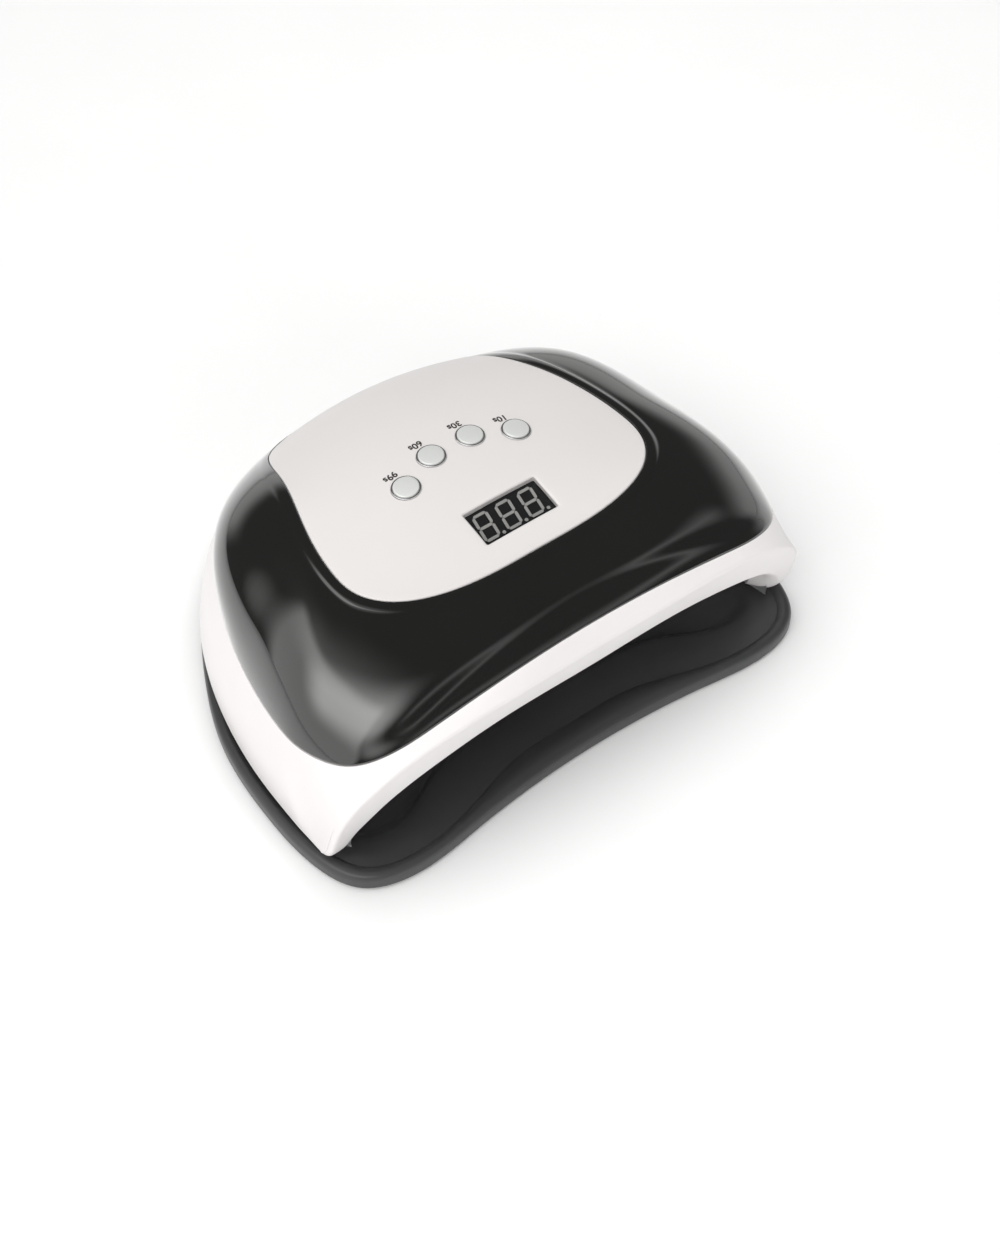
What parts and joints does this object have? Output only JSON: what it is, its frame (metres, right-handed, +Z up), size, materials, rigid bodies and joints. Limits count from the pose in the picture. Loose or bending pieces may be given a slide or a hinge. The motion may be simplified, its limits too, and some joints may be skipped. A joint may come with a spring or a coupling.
{
  "type": "uv curing lamp",
  "caption": "Domed light-curing lamp with an arched open front, a digital timer display and round time buttons, standing loose on a shallow tray.",
  "frame": {"origin": "on the table under the middle of the object, at the underside of the rubber feet", "axes": "+X across the mouth, -Y out of the mouth towards the user, +Z up"},
  "size_m": [0.2498, 0.2099, 0.1047],
  "materials": {
    "tray_plastic": "satin moulded, charcoal",
    "foot_rubber": "matt",
    "magnet_steel": "nickel plated",
    "white_plastic": "satin white",
    "black_gloss": "piano black, polished",
    "panel_plastic": "satin, warm light grey",
    "display_glass": "smoked clear window",
    "module_plastic": "matt black",
    "digit_plastic": "pale grey diffuser",
    "board_green": "solder-masked board",
    "screw_steel": "zinc plated",
    "component_black": "moulded",
    "bezel_metal": "bright ring",
    "liner_silver": "silver-coated reflector",
    "led_lens": "pale lens",
    "led_aluminium": "bare board metal",
    "sensor_dark": "dark red-black filter",
    "jack_black": "moulded",
    "contact_metal": "plated contact",
    "lead_insulation": "insulated wire",
    "cap_silver": "satin silver-white"
  },
  "bodies": {
    "base": {"base_tray": "tray_plastic", "rubber_feet": "foot_rubber", "tray_magnets": "magnet_steel"},
    "lamp": {"upper_shell": "white_plastic", "side_cover": "black_gloss", "top_panel": "panel_plastic", "display_window": "display_glass", "display_module": "module_plastic", "display_digits": "digit_plastic", "control_board": "board_green", "board_screws": "screw_steel", "board_components": "component_black", "tactile_switches": "component_black", "button_bezels": "bezel_metal", "chamber_liner": "liner_silver", "led_beads": "led_lens", "led_boards": "led_aluminium", "motion_sensor": "sensor_dark", "bottom_plate": "white_plastic", "plate_screws": "screw_steel", "shell_magnets": "magnet_steel", "dc_jack": "jack_black", "dc_jack_pin": "contact_metal", "power_leads": "lead_insulation", "led_leads": "lead_insulation"},
    "button_99s": {"button_cap_99s": "cap_silver", "switch_plunger_99s": "component_black"},
    "button_60s": {"button_cap_60s": "cap_silver", "switch_plunger_60s": "component_black"},
    "button_30s": {"button_cap_30s": "cap_silver", "switch_plunger_30s": "component_black"},
    "button_10s": {"button_cap_10s": "cap_silver", "switch_plunger_10s": "component_black"}
  },
  "joints": [
    {"name": "lamp_lift", "type": "slide", "parent": "base", "child": "lamp", "axis": [0, 0, 1], "range_m": [0, 0.12]},
    {"name": "press_99s", "type": "slide", "parent": "lamp", "child": "button_99s", "axis": [0, 0, -1], "range_m": [0, 0.0005], "stiffness_N_per_m": 400},
    {"name": "press_60s", "type": "slide", "parent": "lamp", "child": "button_60s", "axis": [0, 0, -1], "range_m": [0, 0.0005], "stiffness_N_per_m": 400},
    {"name": "press_30s", "type": "slide", "parent": "lamp", "child": "button_30s", "axis": [0, 0, -1], "range_m": [0, 0.0005], "stiffness_N_per_m": 400},
    {"name": "press_10s", "type": "slide", "parent": "lamp", "child": "button_10s", "axis": [0, 0, -1], "range_m": [0, 0.0005], "stiffness_N_per_m": 400}
  ]
}
